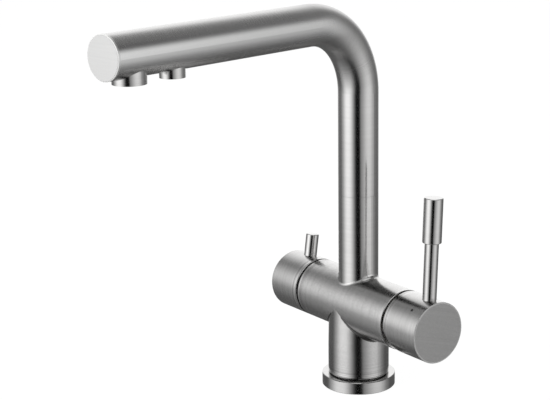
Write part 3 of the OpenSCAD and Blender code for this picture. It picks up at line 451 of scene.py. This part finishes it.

# %% [markdown]
# ### Tool marks and edges
# The belt stops short of a shoulder, so the rings of the lathe stay visible beside the two gaps and above
# the flange. Edges of the flat ends were broken with a file; the narrow pale rim on them is a painted
# highlight. The neck in the shadow gap under the pedestal is painted nearly black, as painted shade in the
# gap. Round the bend the belt can't follow the tube, so the scratches cross there and the surface is
# rougher. The arm's flank is painted the brightest steel on the tap, a painted highlight of a soft box's
# band.

# %% Masks for marks and edges
MIXER_GAP = 0.055
FILTER_GAP = -0.0487
SHOULDER_HEIGHT = 0.01


def near(web, value, place, reach):
    return 1 - web.math("ABSOLUTE", value - place).step(0.001, reach)


def gap_marks(web, x, y, z):
    return near(web, x, MIXER_GAP, 0.007) + near(web, x, FILTER_GAP, 0.009)


def body_marks(web, x, y, z):
    return gap_marks(web, x, y, z) + near(web, z, SHOULDER_HEIGHT, 0.012)


def pedestal(web, x, y, z):
    return 1 - z.step(CROSS_HEIGHT - 0.01, CROSS_HEIGHT)


# Painted shade: the neck in the shadow gap under the pedestal is painted nearly black.
def shadow_gap_shade(web, x, y, z):
    return 1 - z.step(SHOULDER_HEIGHT - 0.0002, SHOULDER_HEIGHT - 0.0001)


# Painted highlight: a pale ring round the rim of the mixer cap's flat end.
def cap_rim_highlight(web, x, y, z):
    outer = from_cross(web, y, z).step(CROSS_RADIUS - 0.0013, CROSS_RADIUS - 0.0007)
    return x.step(CAP_END - 0.00043, CAP_END - 0.00038) * outer


# Painted highlight: a pale ring on the bevel of the spout's end disc.
def disc_rim_highlight(web, x, y, z):
    reach = arm_reach(web, x, y)
    face = reach.step(SPOUT_REACH - 0.00012, SPOUT_REACH - 0.00004)
    return reach.step(SPOUT_REACH - 0.00065, SPOUT_REACH - 0.00055) * (1 - face)


# Painted highlight: a light band along both flanks of the arm.
def arm_flank_highlight(web, x, y, z):
    from_axis = z - ARM_HEIGHT
    band = from_axis.step(-0.011, -0.005) * (1 - from_axis.step(0.003, 0.0105))
    return arm_reach(web, x, y).step(0.02, 0.05) * band


def past_riser(web, x, y, z):
    on_arm = arm_reach(web, x, y).step(0.05, 0.09)
    return spout_way(web, x, y, z).step(-0.012, 0.05) * (1 - on_arm * 0.4)


print("masks:", len((pedestal, shadow_gap_shade, cap_rim_highlight, disc_rim_highlight, arm_flank_highlight, past_riser)))

# %% [markdown]
# ### Steel on the pieces
# The finishes for those masks come next: roughness, share of bare metal, dark tone, light tone. The mixer
# cap's flat end is blasted instead of ground, so it looks darker and more even than the round of the cap.
# The pedestal's steel is a little darker than the tubes'. The beads that join it to the cross body are
# painted dark, as painted shade in the crease under the cross body.

# %% Finishes
# Painted highlight for the end disc's rim: near white, rough, mostly non-metal.
RIM_HIGHLIGHT = (0.7, 0.1, (0.86, 0.86, 0.85), (0.96, 0.96, 0.95))
# Painted highlight for the mixer cap's rim: lighter and partly non-metal.
CAP_RIM_HIGHLIGHT = (0.5, 0.6, (0.5, 0.498, 0.495), (0.6, 0.598, 0.595))
BLASTED = (0.34, 1, (0.27, 0.268, 0.266), (0.49, 0.488, 0.485))
# Painted shade for the shadow gap: nearly black, dull.
GAP_SHADE = (0.6, 0.3, (0.015, 0.015, 0.015), (0.03, 0.03, 0.03))
# Painted highlight for the arm's flank: the lightest steel tone on the tap.
FLANK_HIGHLIGHT = (0.26, 1, (0.88, 0.878, 0.875), (0.99, 0.99, 0.985))
# The pedestal's steel, a little darker than the tubes'.
DARKER_PEDESTAL = (0.18, 1, (0.414, 0.41, 0.407), (0.684, 0.679, 0.675))
DULLED = (0.25, 1, *BRUSHED)
BENT = (0.34, 1, *SATIN)


def dress(material, *names):
    for name in names:
        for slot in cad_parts[name].material_slots:
            slot.material = material
    print(material.name, "on", ", ".join(names))


body_zones = [(pedestal, *DARKER_PEDESTAL), (cross_face, *DULLED), (shadow_gap_shade, *GAP_SHADE)]
spout_zones = [(past_riser, *BENT), (arm_flank_highlight, *FLANK_HIGHLIGHT)]
cap_zones = [(cap_face, *BLASTED), (cap_rim_highlight, *CAP_RIM_HIGHLIGHT)]
disc_zones = [(disc_rim_highlight, *RIM_HIGHLIGHT)]

dress(satin_steel("steel_body", body_way, marks=body_marks, zones=body_zones), "body", "riser_weld")
# The weld beads' dark tone is painted shade in the crease under the cross body.
dress(satin_steel("steel_weld_painted_shade", upright, gloss=0.3, tones=WELD_CREASE_SHADE), "pedestal_welds")
dress(satin_steel("steel_spout", spout_way, zones=spout_zones), "spout_tube")
dress(satin_steel("steel_end_disc", disc_way, gloss=0.38, tones=POLISHED, zones=disc_zones), "spout_end_cap")
dress(satin_steel("steel_mixer_cap", cap_way, gloss=0.22, marks=gap_marks, tones=BRUSHED, zones=cap_zones),
      "mixer_cap")
dress(satin_steel("steel_filter_knob", knob_way, gloss=0.25, marks=gap_marks, tones=BRUSHED), "filter_knob")
dress(satin_steel("steel_turned", upright), "base_flange", "main_outlet_collar", "filter_outlet_collar",
      "lever_stem", "lever_grip", "filter_pin")
dress(satin_steel("steel_small", upright, gloss=0.3), "pivot_pin", "spout_clip", "spindle_clip",
      "aerator_strainer")

# %% [markdown]
# ## Brass, rubber, plastic and ceramic
# These pieces sit inside and show only from below or when the tap is taken apart. Cast brass has a fine
# grain and turned faces, rubber is dull and slightly dusty, moulded plastic has a faint orange peel, and
# the ceramic discs are lapped smooth. The glide ring in the swivel's seam is plastic filled with graphite,
# a dull metal grey that hardly shows between the two tubes.

# %% Plain finishes
PATCH_SHARE = 0.15


def grained(name, dark, light, metal, rough, grain, bump_depth):
    finish = bpy.data.materials.new(name)
    web = fresh_tree(finish)
    place = metres(web)
    patch = noise(web, place, grain * PATCH_SHARE, 3)
    peel = noise(web, place, grain, 4)
    bump = web.node("ShaderNodeBump", None, {"Strength": 0.25, "Distance": bump_depth, "Height": peel})
    surface = web.node("ShaderNodeBsdfPrincipled", None, {
        "Base Color": blend_colour(web, patch * 0.6 + peel * 0.4, dark, light),
        "Metallic": metal,
        "Roughness": (peel - 0.5) * 0.2 + rough,
        "Normal": bump,
    })
    web.node("ShaderNodeOutputMaterial", None, {"Surface": surface})
    return finish


dress(grained("cast_brass", (0.55, 0.38, 0.15), (0.72, 0.54, 0.27), 1, 0.32, 2500, 0.00003),
      "inlet_block", "swivel_spigot", "spout_sleeve", "cartridge_nut", "lever_bar", "filter_valve_body",
      "filter_spindle")
dress(grained("black_rubber", (0.012, 0.012, 0.012), (0.03, 0.03, 0.029), 0, 0.7, 3500, 0.00004),
      "deck_seal", "inlet_seals", "swivel_o_rings", "gland_o_ring", "cartridge_port_seals",
      "filter_seat_seal", "filter_valve_o_ring", "aerator_seal", "filter_nozzle_seal", "index_dot")
dress(grained("moulded_white", (0.62, 0.62, 0.6), (0.74, 0.74, 0.72), 0, 0.4, 1800, 0.00003),
      "cartridge_housing", "cartridge_rotor", "aerator_housing", "filter_elbow", "filter_tube")
dress(grained("moulded_grey", (0.03, 0.03, 0.032), (0.06, 0.06, 0.063), 0, 0.42, 1800, 0.00003),
      "cartridge_base", "disc_driver", "aerator_honeycomb", "filter_nozzle", "mixer_grub_screw",
      "filter_grub_screw")
dress(grained("graphite_plastic", (0.4, 0.4, 0.4), (0.48, 0.48, 0.475), 1, 0.25, 1800, 0.00001), "glide_ring")
dress(grained("lapped_ceramic", (0.78, 0.76, 0.71), (0.86, 0.84, 0.8), 0, 0.2, 4000, 0.00001),
      "fixed_ceramic_disc", "sliding_ceramic_disc", "filter_fixed_disc", "filter_turning_disc")
